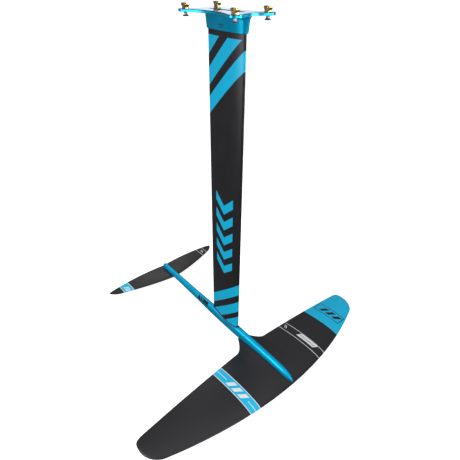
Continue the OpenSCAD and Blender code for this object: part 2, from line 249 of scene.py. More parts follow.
def along_fuselage(y):
    """Half width, top and bottom of the fuselage at Y: a cubic through the stations, run
    on the square root of the distance from the nose, so that the nose comes out round."""
    p = np.sqrt(np.maximum(np.asarray(y, float) - NOSE_Y, 0))
    knots = np.sqrt(FUSELAGE[:, 0] - NOSE_Y)
    values = FUSELAGE[:, 1:]
    slopes = np.gradient(values, knots, axis=0)
    i = np.clip(np.searchsorted(knots, p, side="right") - 1, 0, len(knots) - 2)
    h = (knots[i + 1] - knots[i])[:, None]
    t = np.clip((p - knots[i])[:, None] / h, 0, 1)
    return ((2 * t**3 - 3 * t**2 + 1) * values[i] + (t**3 - 2 * t**2 + t) * h * slopes[i]
            + (3 * t**2 - 2 * t**3) * values[i + 1] + (t**3 - t**2) * h * slopes[i + 1])


def fuselage_rings(ys, n=72):
    """Rings round the fuselage at stations ys: powers of the sine and cosine, rounder
    above the widest height and fuller below it."""
    half, top, bottom = along_fuselage(ys).T[:, :, None]
    widest = bottom + BELLY * (top - bottom)
    a = np.arange(n)[None, :] * 2 * math.pi / n
    up = np.sin(a) > 0
    e = np.where(up, TOP_POWER, BELLY_POWER)
    x = half * np.sign(np.cos(a)) * np.abs(np.cos(a)) ** e
    reach = np.where(up, top - widest, widest - bottom)
    z = widest + np.sign(np.sin(a)) * np.abs(np.sin(a)) ** e * reach
    return np.stack([x, np.broadcast_to(np.asarray(ys, float)[:, None], x.shape), z], -1)


def fuselage_top(loop):
    """Height of the fuselage's upper skin above each point of a flat loop."""
    half, top, bottom = along_fuselage(loop[:, 1]).T
    widest = bottom + BELLY * (top - bottom)
    c = np.clip(np.abs(loop[:, 0]) / half, 0, 0.999) ** (1 / TOP_POWER)
    return widest + (1 - c * c) ** (TOP_POWER / 2) * (top - widest)


def section_rings(x, le, te, z, thick, camber, tail, steps):
    """Foil sections at spans x: each runs from the tail along the underside, round the
    nose and back on top, with a parabolic camber and a blunt tail."""
    u = np.linspace(-1, 1, 2 * steps + 1)[None, :]
    s = u * u
    values = (x, le, te, z, thick, camber, tail)
    x, le, te, z, thick, camber, tail = (np.asarray(v)[:, None] for v in values)
    half = np.sign(u) * (foil_half(s, thick) + tail / 2 * s)
    return np.stack([x + 0 * u, le + (te - le) * s, z + 4 * camber * s * (1 - s) + half], -1)


def front_wing_rings():
    """Sections of the front wing: a swept nose line, a nearly straight tail that flares
    concavely into the root, round tips, and a droop that grows with the span."""
    root = np.linspace(0, WING_ROOT, 25)
    tip = WING_ROOT + (WING_HALF - WING_ROOT) * np.sin(np.radians(np.linspace(0, 88.8, 58)[1:]))
    a = np.concatenate([root, tip])
    x = np.concatenate([-a[:0:-1], a])
    a = np.abs(x)
    t = np.clip((a - WING_TIP_LE) / (WING_HALF - WING_TIP_LE), 0, 1)
    b = np.clip((a - WING_TIP_TE) / (WING_HALF - WING_TIP_TE), 0, 1)
    flare = np.clip((WING_ROOT - a) / WING_FLARE, 0, 1)
    sweep = 0.00048 * np.minimum(a, WING_TIP_LE) ** 2
    le = WING_LE + sweep + 16.9 * t + 44.7 * (1 - np.sqrt(1 - t * t))
    taper = 0.047 * np.maximum(a - WING_ROOT, 0)
    te = WING_TE - taper - 31 * (1 - (1 - b**4) ** 0.25) + 46 * flare**1.6
    z = WING_Z - WING_DROOP * (a / WING_HALF) ** 1.97
    chord = np.minimum(te - le, 190)
    return section_rings(x, le, te, z, 0.09 * chord, 0.02 * chord, 1.2 + 4.8 * flare**1.5, 44)


def stabiliser_rings():
    """Sections of the stabiliser: a nose line that sweeps back with the span, a tail that
    bows, round tips, a parabolic droop and a camber that is turned upside down."""
    x = STAB_HALF * np.sin(np.radians(np.linspace(-88, 88, 121)))
    a = np.abs(x)
    tip = np.clip((a - STAB_TIP) / (STAB_HALF - STAB_TIP), 0, 1)
    le = STAB_LE + 0.0193 * a**1.5 + 20 * (1 - np.sqrt(1 - tip**2))
    te = STAB_TE - 9 * ((165 - a) / 165) ** 2 - 6 * (1 - (1 - tip**4) ** 0.25)
    chord = te - le
    z = STAB_Z - STAB_DROOP * (a / STAB_HALF) ** 2
    return section_rings(x, le, te, z, 0.085 * chord, -0.01 * chord, 0.9 + 0 * a, 36)


def turned(x, y, profile, n=48):
    """Rings of a turned shape on a vertical axis, from pairs of radius and height."""
    return np.stack([at_z(circle(x, y, max(r, 0), n), z) for r, z in profile])


def screw_rings(x, y, z, size, length, down=False, n=48, turns=8):
    """Rings of a countersunk screw standing on its head: a hexagonal key hole, a cone and
    a shank whose radius rises and falls along a helix. turns is the rings in each pitch."""
    shank, head, key, pitch = size
    cone = head - shank
    a = np.arange(n) * 2 * math.pi / n
    hexagon = key / np.cos((a + math.pi / 6) % (math.pi / 3) - math.pi / 6)
    flat = [(0 * a, 0.7 * cone + 0.5), (hexagon, 0.7 * cone), (hexagon, 0.25), (hexagon + 0.25, 0),
            (0 * a + head - 0.3, 0), (0 * a + head - 0.1, 0.1), (0 * a + shank, cone)]
    heights = np.arange(cone + 0.3, length - 0.9, pitch / turns)
    phase = (heights[:, None] / pitch - a[None, :] / (2 * math.pi)) % 1
    ridge = np.clip(np.abs(2 * phase - 1) * 1.35 - 0.1, 0, 1)
    fade = np.clip(np.minimum(heights - cone - 0.3, length - 0.9 - heights) / (0.8 * pitch), 0, 1)
    thread = shank - 0.56 * pitch * (1 - ridge) * fade[:, None]
    tip = [(0 * a + shank - 0.62 * pitch, length), (0 * a, length)]
    radius = np.concatenate([[r for r, _ in flat], thread, [r for r, _ in tip]])
    height = np.concatenate([[h for _, h in flat], heights, [h for _, h in tip]])[:, None]
    turn = -1 if down else 1
    return np.stack([x + radius * np.cos(a), y + turn * radius * np.sin(a),
                     z + turn * (height + 0 * a)], -1)


class Shell:
    """Gathers the walls and flats of one closed piece, in millimetres."""

    def __init__(self):
        self.points, self.faces, self.count = [], [], 0

    def _add(self, points, faces):
        self.points.append(points)
        self.faces += faces
        self.count += len(points)

    def wall(self, rings):
        """Quads between neighbouring closed rings, given as an array rings x points x 3."""
        rings = np.asarray(rings, float)
        k, n = rings.shape[:2]
        i = self.count + np.arange(k * n).reshape(k, n)
        j = np.roll(i, -1, axis=1)
        quads = np.stack([i[:-1], j[:-1], j[1:], i[1:]], -1).reshape(-1, 4)
        self._add(rings.reshape(-1, 3), quads.tolist())
        return self

    def flat(self, *loops):
        """A flat face inside the first loop and outside the others."""
        tris = tessellate_polygon([[Vector(p) for p in loop] for loop in loops])
        self._add(np.concatenate(loops), [[self.count + i for i in t] for t in tris])
        return self

    def tube(self, rings):
        """A wall closed by a flat at each end."""
        return self.wall(rings).flat(rings[0]).flat(rings[-1])

    def solid(self, name):
        """The piece as an object: doubles merged, so that seams and poles close, and
        faces turned outwards."""
        mesh = bpy.data.meshes.new(name)
        mesh.from_pydata((np.concatenate(self.points) * MM).tolist(), [], self.faces)
        bm = bmesh.new()
        bm.from_mesh(mesh)
        bmesh.ops.remove_doubles(bm, verts=bm.verts, dist=2e-7)
        bmesh.ops.dissolve_degenerate(bm, edges=bm.edges, dist=1e-7)
        bmesh.ops.recalc_face_normals(bm, faces=bm.faces)
        if bm.calc_volume(signed=True) < 0:
            bmesh.ops.reverse_faces(bm, faces=bm.faces)
        bm.to_mesh(mesh)
        bm.free()
        piece = bpy.data.objects.new(name, mesh)
        bpy.context.scene.collection.objects.link(piece)
        return piece


def prism(line):
    """A slab across the fuselage, between a joint line in Y and Z and that line moved
    down."""
    line = np.array(line, float)
    loop = np.concatenate([line, (line + [0, CUTTER_REACH])[::-1]])
    left, right = (np.concatenate([np.full((len(loop), 1), x), loop], 1)
                   for x in (-CUTTER_HALF, CUTTER_HALF))
    return Shell().tube(np.stack([left, right])).solid("cutter")


def screw_room(y, z, size, depth, room=10):
    """The space that takes a countersunk screw: head room, cone and clearance hole."""
    big, hole = size[1] + HOLE_GAP, size[0] + HOLE_GAP
    profile = [(0, -room), (big, -room), (big, 0), (hole, big - hole), (hole, depth), (0, depth)]
    return Shell().wall(turned(0, y, [(r, z + h) for r, h in profile])).solid("cutter")


def drill(x, y, r, low, high):
    """A plain upright hole from one height to another."""
    profile = [(0, low), (r, low), (r, high), (0, high)]
    return Shell().wall(turned(x, y, profile)).solid("cutter")


def saddle(ys, half, line):
    """The slot that takes the fuselage: half wide at each Y, and open above a joint line."""
    seat = np.interp(ys, *np.array(line, float).T)
    slot = [[[-h, y, z], [h, y, z], [h, y, SADDLE_TOP], [-h, y, SADDLE_TOP]]
            for h, y, z in zip(half, ys, seat)]
    return Shell().tube(np.array(slot)).solid("cutter")


def carve(piece, cutters):
    """Takes the cutters out of the piece, and deletes them."""
    for cutter in cutters:
        cut = piece.modifiers.new("carve", "BOOLEAN")
        cut.operation, cut.solver, cut.object = "DIFFERENCE", "EXACT", cutter
    whole = piece.evaluated_get(bpy.context.evaluated_depsgraph_get())
    old, piece.data = piece.data, bpy.data.meshes.new_from_object(whole)
    piece.modifiers.clear()
    bpy.data.meshes.remove(old)
    for cutter in cutters:
        bpy.data.objects.remove(cutter)
    return piece


def finish(piece, body, nodes, material, angle=32, bevel=0.0):
    """Shades a piece, gives it its finish and hangs it on its body in place of its nodes."""
    piece.data.shade_smooth()
    piece.data.set_sharp_from_angle(angle=math.radians(angle))
    if bevel:
        edge = piece.modifiers.new("edges", "BEVEL")
        edge.width, edge.segments, edge.limit_method = bevel * MM, 2, "ANGLE"
        edge.angle_limit, edge.harden_normals = math.radians(angle), True
    else:
        even = piece.modifiers.new("even", "WEIGHTED_NORMAL")
        even.keep_sharp, even.weight = True, 60
    piece.data.materials.clear()
    piece.data.materials.append(material)
    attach(piece, body)
    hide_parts(*nodes)
    return piece


# ---------------------------------------------------------------- shader maths


class Value:
    """A number that varies over a surface: arithmetic on it adds Math nodes."""

    def __init__(self, paint, socket):
        self.paint, self.socket = paint, socket

    def op(self, kind, *others):
        values = dict(enumerate((self, *others)))
        made = self.paint.node("ShaderNodeMath", {"operation": kind}, values)
        return Value(self.paint, made.outputs[0])

    def __add__(self, other):
        return self.op("ADD", other)

    def __sub__(self, other):
        return self.op("SUBTRACT", other)

    def __mul__(self, other):
        return self.op("MULTIPLY", other)

    def __rsub__(self, other):
        return (self * -1) + other

    def __abs__(self):
        return self.op("ABSOLUTE")

    __radd__, __rmul__ = __add__, __mul__

    def either(self, other):
        return self.op("MAXIMUM", other)

    def wrap(self, size):
        return self.op("WRAP", size, 0.0)

    def ramp(self, start, end, low=0.0, high=1.0):
        """Goes in a straight line from low at start to high at end, and stays there."""
        sockets = {"Value": self, "From Min": start, "From Max": end, "To Min": low, "To Max": high}
        made = self.paint.node("ShaderNodeMapRange", {"clamp": True}, sockets)
        return Value(self.paint, made.outputs[0])

    def between(self, low, high, soft=0.25):
        """1 between low and high, 0 outside, with edges soft wide."""
        return self.ramp(low - soft, low + soft) * self.ramp(high + soft, high - soft)


class Paint:
    """A material under construction."""

    def __init__(self, name, fixed=None):
        self.material = bpy.data.materials.new(name)
        self.material.use_nodes = True
        self.tree = self.material.node_tree
        self.tree.nodes.clear()
        self.shader = self.node("ShaderNodeBsdfPrincipled", {}, {})
        self.node("ShaderNodeOutputMaterial", {}, {"Surface": self.shader.outputs[0]})
        for socket, value in (fixed or {}).items():
            self.shader.inputs[socket].default_value = value
        self.place = self.node("ShaderNodeTexCoord", {}, {}).outputs["Object"]
        split = self.node("ShaderNodeSeparateXYZ", {}, {"Vector": self.place})
        self.x, self.y, self.z = (Value(self, s) * (1 / MM) for s in split.outputs)

    def node(self, kind, settings, sockets):
        """Any node, from its type, its settings and the values or links of its sockets."""
        made = self.tree.nodes.new(kind)
        for key, value in settings.items():
            setattr(made, key, value)
        for key, value in sockets.items():
            if isinstance(key, int):
                socket = made.inputs[key]
            else:
                socket = next((s for s in made.inputs if s.identifier == key), None) or made.inputs[key]
            value = value.socket if isinstance(value, Value) else value
            if isinstance(value, bpy.types.NodeSocket):
                self.tree.links.new(value, socket)
            elif socket.type == "RGBA":
                socket.default_value = (*value[:3], 1)
            else:
                socket.default_value = value
        return made

    def noise(self, size, detail=2.0, stretch=(1, 1, 1), rough=0.5):
        """Cloudy noise whose patches are about size millimetres, from 0 to 1."""
        scale = [s / MM / size for s in stretch]
        place = self.node("ShaderNodeMapping", {}, {"Vector": self.place, "Scale": scale})
        made = self.node("ShaderNodeTexNoise", {}, {"Vector": place.outputs[0], "Scale": 1.0,
                                                    "Detail": detail, "Roughness": rough})
        return Value(self, made.outputs[0])

    def mix(self, factor, a, b):
        """Colour a where factor is 0, b where it is 1."""
        made = self.node("ShaderNodeMix", {"data_type": "RGBA"},
                         {"Factor_Float": factor, "A_Color": a, "B_Color": b})
        return made.outputs[2]

    def bump(self, height, depth):
        """Relief whose full height is depth millimetres."""
        sockets = {"Strength": 1.0, "Distance": depth * MM, "Height": height}
        return self.node("ShaderNodeBump", {}, sockets)

    def wear(self, **sockets):
        """Links what varies to the shader, and gives back the material."""
        for name, value in sockets.items():
            value = value.socket if isinstance(value, Value) else value
            value = value.outputs[0] if isinstance(value, bpy.types.Node) else value
            self.tree.links.new(value, self.shader.inputs[name.replace("_", " ").title()])
        return self.material


def shade(colour, k):
    """A colour made k times as bright."""
    return [min(c * k, 1) for c in colour]


def laminate(paint, colour):
    """Matt lacquer over a carbon twill: colour, roughness and relief. Slanting rows of
    small tows alternate, and the lacquer clouds and scuffs them."""
    sizes = bpy.context.scene.hydrofoil_sizes
    tow = sizes.tow / MM
    along, across = paint.x + 0.35 * paint.z, paint.y + paint.z
    twill = (along * (1 / tow) + across * (1 / tow)).wrap(2.0).between(0, 1, 0.12)
    cloud = paint.noise(55, 3)
    grain = paint.noise(0.9, 2)
    scuff = paint.noise(7, 6, (0.25, 1, 1)).ramp(0.62, 0.78)
    tone = paint.mix(cloud, shade(colour, 0.84), shade(colour, 1.16))
    tone = paint.mix(twill * 0.35, tone, shade(colour, 1.55))
    tone = paint.mix(scuff * 0.16, tone, shade(colour, 3.2))
    rough = cloud.ramp(0.3, 0.7, 0.37, 0.45) + scuff * 0.1 + twill * -0.04
    relief = paint.bump(grain * 0.5 + twill * 0.4 + scuff * 0.3, 0.05)
    return tone, rough, relief


def printed(paint, tone, rough, ink, mask):
    """Screen-printed ink over a laminate where mask is 1: slightly cloudy and glossier."""
    cloud = paint.noise(18, 3)
    inked = paint.mix(cloud, shade(ink, 0.93), shade(ink, 1.05))
    return paint.mix(mask, tone, inked), rough + mask * -0.04


def bars(v, start, count, pitch, ink):
    """count bars, each ink wide, that start at v = start and every pitch after it."""
    row = v.between(start, start + count * pitch)
    return (v - start).wrap(pitch).between(0.5, ink + 0.5) * row


def mast_finish():
    """Charcoal laminate with slanting printed stripes at the head and foot, and a row of
    chevrons between them."""
    colours = bpy.context.scene.hydrofoil_colours
    paint = Paint("Mast laminate", {"IOR": 1.45})
    tone, rough, relief = laminate(paint, colours.charcoal)
    y, z = paint.y, paint.z
    head = z + 0.94 * (y + 69)
    foot = z + 0.953 * (y + 69)
    stripes = head.ramp(27.2, 27.8).either(head.between(-43, -2)).either(head.between(-112, -70))
    stripes = stripes * z.ramp(-50.7, -51.3)
    for low, high in ((-772.5, -731), (-844.5, -802), (-911, -868)):
        stripes = stripes.either(foot.between(low, high))
    chevrons = bars(z - abs(y + 4) * 0.9, -722, 5, 54, 29) * y.between(-42, 34)
    tone, rough = printed(paint, tone, rough, colours.print_blue, stripes.either(chevrons))
    return paint.wear(base_color=tone, roughness=rough, normal=relief)


def wing_top(paint, droop, half, power, lift):
    """1 on the upper side of a wing, from the height above its chord line."""
    return (paint.z - lift + (abs(paint.x) * (1 / half)).op("POWER", power) * droop).ramp(1.6, 2.2)


def front_wing_finish():
    """Charcoal laminate with a printed tip, a printed band and thin white trim lines."""
    colours = bpy.context.scene.hydrofoil_colours
    paint = Paint("Front wing laminate", {"IOR": 1.47})
    tone, rough, relief = laminate(paint, colours.charcoal)
    x, y = paint.x, paint.y
    top = wing_top(paint, WING_DROOP, WING_HALF, 1.97, WING_Z)
    blue = x.ramp(256.7, 257.3).either(x.between(-162, -130))
    tone, rough = printed(paint, tone, rough, colours.print_blue, blue)
    box = x.between(299, 343) * y.between(-258, -151)
    frame = box * (1 - x.between(301.8, 340.2) * y.between(-255.2, -153.8))
    mark = bars(y + x * 0.7, -22, 3, 27, 16) * x.between(309, 333)
    tone, rough = printed(paint, tone, rough, colours.print_and_shade_black, frame.either(mark) * top)
    lines = x.between(129.1, 130.9).either(x.between(160.1, 161.9))
    lines = lines.either(x.between(-130.9, -129.1)).either(x.between(-162.9, -161.1))
    centre = x.between(-146.8, -145.2) * (1 - y.between(-276, -182))
    band_mark = bars(y + x * 0.8, -380, 3, 26, 15) * x.between(-156, -136)
    slant = y + x * 0.6
    block = x.between(142, 159) * slant.between(-187, -118)
    block = block * (1 - x.between(147, 154) * bars(slant, -181, 9, 6.5, 2.6))
    tick = x.between(140, 152) * bars(y - x * 0.7, -260, 2, 6, 3)
    white = lines.either(centre).either((band_mark.either(block).either(tick)) * top)
    tone, rough = printed(paint, tone, rough, colours.print_white, white)
    return paint.wear(base_color=tone, roughness=rough, normal=relief)


def stabiliser_finish():
    """Charcoal laminate with one printed band and thin white trim lines."""
    colours = bpy.context.scene.hydrofoil_colours
    paint = Paint("Stabiliser laminate", {"IOR": 1.47})
    tone, rough, relief = laminate(paint, colours.charcoal)
    x, y = paint.x, paint.y
    top = wing_top(paint, STAB_DROOP, STAB_HALF, 2.0, STAB_Z - 0.6)
    tone, rough = printed(paint, tone, rough, colours.print_blue, x.between(-196, -162))
    lines = x.between(-162.9, -161.1).either(x.between(-196.9, -195.1))
    lines = lines.either(x.between(169.1, 170.9)).either(x.between(198.1, 199.9))
    marks = bars(y + x * 0.8, 209, 3, 11, 6.5) * x.between(-188, -171)
    marks = marks.either(bars(y - x * 0.8, 222, 2, 8, 4) * x.between(178, 191))
    tone, rough = printed(paint, tone, rough, colours.print_white, lines.either(marks * top))
    return paint.wear(base_color=tone, roughness=rough, normal=relief)


def anodised_finish(name, print_and_shade_mask, gloss):
    """Blue anodised alloy, bead blasted: cloudy dye, a fine grain, bright worn scratches and
    dark marks: print, and on the plate also a painted shade line round its rims.
    print_and_shade_mask is a function of the paint that gives the mask of the dark marks, and
    gloss is the lowest roughness. The plate's top face is lapped: smoother, and without grain."""
    colours = bpy.context.scene.hydrofoil_colours
    paint = Paint(name, {"Specular IOR Level": 0.25})
    cloud = paint.noise(40, 3)
    grain = paint.noise(0.6, 2)
    draw = paint.noise(3, 3, (1, 0.04, 1))
    scratch = paint.noise(5, 6, (1, 0.12, 1)).ramp(0.66, 0.76)
    blue = paint.mix(cloud, shade(colours.anodised, 0.9), shade(colours.anodised, 1.12))
    blue = paint.mix(scratch * 0.25, blue, shade(colours.anodised, 1.9))
    dark = print_and_shade_mask(paint)
    # Dark marks turn the dye black: print, and on the plate also the painted shade of its rims.
    tone = paint.mix(dark, blue, colours.print_and_shade_black)
    rough = cloud.ramp(0.3, 0.7, gloss, gloss + 0.08) + draw * 0.05 + scratch * 0.08 + dark * 0.15
    lapped = paint.z.ramp(-0.1, -0.02)
    rough = rough * (1 - lapped * 0.7)
    metal = dark.ramp(0, 1, 0.62, 0.1)
    relief = paint.bump((grain * 0.6 + draw * 0.3 + scratch * -0.3) * (1 - lapped), 0.02)
    return paint.wear(base_color=tone, roughness=rough, metallic=metal, normal=relief)


def collar_label_and_rim_shade(paint):
    """Two short printed bars on each side of the collar, and a painted shade line along the
    plate's upper edge and the rims of its pocket and screw holes, in place of their dark reflections."""
    y, z = paint.y, paint.z
    upper = y.between(-10, 13) * z.between(-27.5, -25.8)
    lower = y.between(-6, 9) * z.between(-32.5, -30.8)
    # The last mask is painted shade: a dark band just under the plate's top face, round its rims.
    return (upper.either(lower) * abs(paint.x).ramp(9, 10)).either(z.between(-1.6, -0.12, 0.1))


def fuselage_label(paint):
    """A dark plate with a row of ticks on the starboard flank."""
    y, z = paint.y, paint.z
    side = paint.x.ramp(-4.5, -5)
    plate = y.between(84, 141) * z.between(-934, -919.5)
    ticks = bars(y + z * 0.6, -470, 6, 7, 2.6) * z.between(-931.5, -928)
    wedge = bars(y - z * 1.2, 1220, 2, 12, 6) * z.between(-925.5, -921.5)
    return plate * side * (1 - ticks.either(wedge))


def metal_finish(name, colour, rough, spread=0.1, tint=None):
    """Bare metal: a fine turned grain, and cloudy tarnish towards tint."""
    paint = Paint(name, {"Metallic": 1.0})
    tarnish = paint.noise(4, 4)
    grain = paint.noise(0.35, 2, (1, 1, 3))
    tone = paint.mix(tarnish.ramp(0.35, 0.75), colour, tint or shade(colour, 0.7))
    level = tarnish.ramp(0.3, 0.7, rough, rough + spread) + grain * 0.06
    return paint.wear(base_color=tone, roughness=level, normal=paint.bump(grain, 0.01))


def rubber_finish():
    """Black rubber with a dusty bloom and a fine mould grain."""
    paint = Paint("Gasket rubber")
    bloom = paint.noise(6, 4)
    grain = paint.noise(0.4, 2)
    colour = bpy.context.scene.hydrofoil_colours.rubber
    tone = paint.mix(bloom.ramp(0.4, 0.8), colour, shade(colour, 2.2))
    return paint.wear(base_color=tone, roughness=bloom.ramp(0.3, 0.7, 0.5, 0.68),
                      normal=paint.bump(grain, 0.03))


# ---------------------------------------------------------------- settings


def length_prop(name, default, text):
    return FloatProperty(name=name, description=text, default=default, min=0.0,
                         subtype="DISTANCE", unit="LENGTH", precision=4)


def colour_prop(name, default, text):
    return FloatVectorProperty(name=name, description=text, default=default, size=3,
                               min=0.0, max=1.0, subtype="COLOR")


def level_prop(name, default, text):
    return FloatProperty(name=name, description=text, default=default, min=0.0)


class HYDROFOIL_PG_sizes(PropertyGroup):
    """Sizes of edges and surface detail."""

    plate_edge: length_prop("Plate edge", 0.0012, "Radius of the base plate's upper edge")
    plate_under_edge: length_prop("Plate lower edge", 0.001, "Radius of the base plate's lower edge")
    lip_edge: length_prop("Collar lip", 0.0008, "Radius of the collar's lower lip")
    gasket_width: length_prop("Gasket width", 0.0024, "Width of the gasket's lip round the mast")
    nut_edge: length_prop("Nut edge", 0.0003, "Bevel of the track nuts' edges")
    tow: length_prop("Carbon tow", 0.002, "Width of one tow of the carbon twill")
    floor_size: length_prop("Floor", 120.0, "Side of the studio floor")
    floor_gap: length_prop("Floor gap", 0.001, "Distance between the floor and the lowest point")


class HYDROFOIL_PG_colours(PropertyGroup):
    """Colours of the finishes, and the light."""

    charcoal: colour_prop("Laminate", (0.0102, 0.0096, 0.0122),
                          "Lacquered carbon of the mast and wings")
    print_blue: colour_prop("Printed blue", (0.0, 0.515, 0.84), "Stripes and bands")
    print_white: colour_prop("Printed white", (0.85, 0.87, 0.88), "Trim lines and marks")
    # Print, and also the painted shade line round the base plate's rims
    print_and_shade_black: colour_prop("Printed black", (0.012, 0.012, 0.014), "Marks on blue and on metal")
    anodised: colour_prop("Anodised blue", (0.0, 0.45, 0.76), "Base plate, collar and fuselage")
    brass: colour_prop("Brass", (0.5, 0.31, 0.12), "Track nuts and thread inserts")
    steel: colour_prop("Steel", (0.68, 0.68, 0.69), "Screws")
    alloy: colour_prop("Bare alloy", (0.72, 0.73, 0.75), "Threaded blocks")
    rubber: colour_prop("Rubber", (0.012, 0.012, 0.012), "Gasket")
    floor: colour_prop("Floor", (0.8, 0.8, 0.8), "Studio floor")
    floor_glow: level_prop("Floor glow", 0.85, "Light that the floor gives off")
    ambient: level_prop("Ambient light", 0.75, "Strength of the light from all round")
    key: level_prop("Key light", 30.0, "Power of the main softbox, in watts")


# ---------------------------------------------------------------- operators


class HYDROFOIL_OT_base_plate(Operator):
    """Base plate: rounded rim, pocket, screw seats, and a collar that flares out of it"""

    bl_idname = "hydrofoil.base_plate"
    bl_label = "Base plate"

    def execute(self, context):
        sizes = context.scene.hydrofoil_sizes
        edges = (sizes.plate_edge, sizes.plate_under_edge, sizes.lip_edge)
        top_r, under_r, lip_r = (v / MM for v in edges)
        shell = Shell()
        quarter = np.radians(np.linspace(0, 90, 6))
        inset, drop = 1 - np.sin(quarter), 1 - np.cos(quarter)
        rim = [at_z(plate_loop(-top_r * g), -top_r * z) for g, z in zip(inset, drop)]
        rim += [at_z(plate_loop(-under_r * g), -PLATE_T + under_r * z) for g, z in zip(drop, inset)]
        shell.wall(rim)

        big, hole = M8[1] + HOLE_GAP, M8[0] + HOLE_GAP
        seat = [(big + 0.15, 0), (big, SPOT_Z / 2), (big, SPOT_Z), (hole + 0.15, SPOT_Z),
                (hole, SPOT_Z - 0.15), (hole, SEAT_Z + big - hole), (big, SEAT_Z),
                (big, 0.2 - PLATE_T), (big + 0.2, -PLATE_T)]
        holes = [turned(x, y, seat) for x, y in CORNERS.values()]
        for rings in holes:
            shell.wall(rings)
        profile = ((0.4, 0), (0, -0.4), (0, POCKET_Z + 0.5), (-0.15, POCKET_Z + 0.15), (-0.3, POCKET_Z))
        pocket = [at_z(stadium(g), z) for g, z in profile]
        shell.wall(pocket)
        shell.flat(rim[0], pocket[0], *(h[0] for h in holes))

        root, wide = mast_loop(FLANGE_WALL), mast_loop(FLANGE_WALL + 1)
        rearward = np.clip((root[:, 1] - MAST_LE) / MAST_CHORD, 0, 1)
        r = FLARE_FRONT + (FLARE_REAR - FLARE_FRONT) * rearward
        collar = []
        for a in np.radians(np.linspace(90, 0, 10)):
            out = (r * (1 - math.cos(a)))[:, None] * (wide - root)
            collar.append(at_z(root + out, -PLATE_T - r * (1 - math.sin(a))))
        start, lip_top = collar[-1], at_z(mast_loop(LIP_WALL), COLLAR_Z + lip_r)
        collar += [start + t * (lip_top - start) for t in np.linspace(0, 1, 9)[1:]]
        collar += [at_z(mast_loop(LIP_WALL - lip_r * g), COLLAR_Z + lip_r * z)
                   for g, z in zip(drop[1:], inset[1:])]
        socket = ((0.6, COLLAR_Z), (0.1, COLLAR_Z + 0.5), (0.1, MAST_TOP))
        collar += [at_z(mast_loop(g), z) for g, z in socket]
        shell.wall(collar)
        shell.flat(rim[-1], collar[0], *(h[-1] for h in holes))

        big, hole = M6[1] + HOLE_GAP, M6[0] + HOLE_GAP
        bore = [(big, POCKET_Z), (hole, POCKET_Z + hole - big), (hole, MAST_TOP)]
        bores = [turned(0, y, bore) for y in MAST_SCREW_Y]
        for rings in bores:
            shell.wall(rings)
        shell.flat(pocket[-1], *(b[0] for b in bores))
        shell.flat(collar[-1], *(b[-1] for b in bores))
        material = anodised_finish("Anodised plate", collar_label_and_rim_shade, 0.18)
        finish(shell.solid("plate_and_collar"), "foil", ["base_plate"], material)
        return {"FINISHED"}


class HYDROFOIL_OT_mast(Operator):
    """Mast: one foil section drawn straight from the collar to the fuselage"""

    bl_idname = "hydrofoil.mast"
    bl_label = "Mast"

    def execute(self, context):
        rings = [at_z(mast_loop(0), z) for z in np.linspace(MAST_BOTTOM, MAST_TOP, 25)]
        piece = Shell().tube(rings).solid("mast_blade")
        finish(piece, "foil", ["mast"], mast_finish())
        return {"FINISHED"}


def gasket_land(width):
    """The seat cut in the fuselage for the mast's foot: a pocket, a shallow land for the
    gasket's lip that follows the skin, and a bevelled rim."""
    def on_skin(g, lift, skin=None):
        loop = mast_loop(g)
        return at_z(loop, fuselage_top(mast_loop(skin or g)) + lift)

    return [at_z(mast_loop(1), MAST_BOTTOM), on_skin(1, -0.7), on_skin(width + 0.1, -0.7),
            on_skin(width + 0.1, -0.45), on_skin(width + 0.9, 0.1), on_skin(width + 1.9, 3, width + 0.9)]


class HYDROFOIL_OT_fuselage(Operator):
    """Fuselage: a round-nosed beam, cut for the mast's foot, both wings and their screws"""

    bl_idname = "hydrofoil.fuselage"
    bl_label = "Fuselage"

    def execute(self, context):
        p = np.linspace(0.16, math.sqrt(FUSELAGE[-1, 0] - NOSE_Y), 150)
        rings = fuselage_rings(NOSE_Y + p**2)
        end = rings[-1]
        middle = end.mean(0)
        rounding = ((0.97, 0.25), (0.92, 0.45), (0.84, 0.5))
        tail = [middle + (end - middle) * s + [0, d, 0] for s, d in rounding]
        piece = Shell().tube(np.concatenate([rings, tail])).solid("fuselage_beam")
        cutters = [prism(WING_SEAT), prism(STAB_SEAT)]
        width = context.scene.hydrofoil_sizes.gasket_width / MM
        cutters.append(Shell().tube(gasket_land(width)).solid("cutter"))
        cutters += [screw_room(y, FOOT_HEAD_Z, M6, 16) for y in MAST_SCREW_Y]
        for ys, (r, low, high) in ((WING_SCREW_Y, WING_INSERT), (STAB_SCREW_Y, STAB_INSERT)):
            cutters += [drill(0, y, r + FIT_GAP, low, high) for y in ys]
        material = anodised_finish("Anodised fuselage", fuselage_label, 0.33)
        finish(carve(piece, cutters), "foil", ["fuselage"], material)
        return {"FINISHED"}


class HYDROFOIL_OT_gasket(Operator):
    """Foot gasket: a rubber section carried round the mast, with a lip on the fuselage"""

    bl_idname = "hydrofoil.gasket"
    bl_label = "Foot gasket"

    def execute(self, context):
        width = context.scene.hydrofoil_sizes.gasket_width / MM
        section = [(0.05, None), (0.95, None), (0.95, -0.7), (width, -0.68), (width, -0.25),
                   (width - 0.3, 0.0), (0.9, 0.12), (0.3, 0.3), (0.05, 0.25)]
        rings = []
        for g, lift in section:
            loop = mast_loop(g)
            rings.append(at_z(loop, MAST_BOTTOM + 0.05 if lift is None else fuselage_top(loop) + lift))
        rings.append(rings[0])
        piece = Shell().wall(rings).solid("foot_gasket_ring")
        finish(piece, "foil", ["foot_gasket"], rubber_finish())
        return {"FINISHED"}


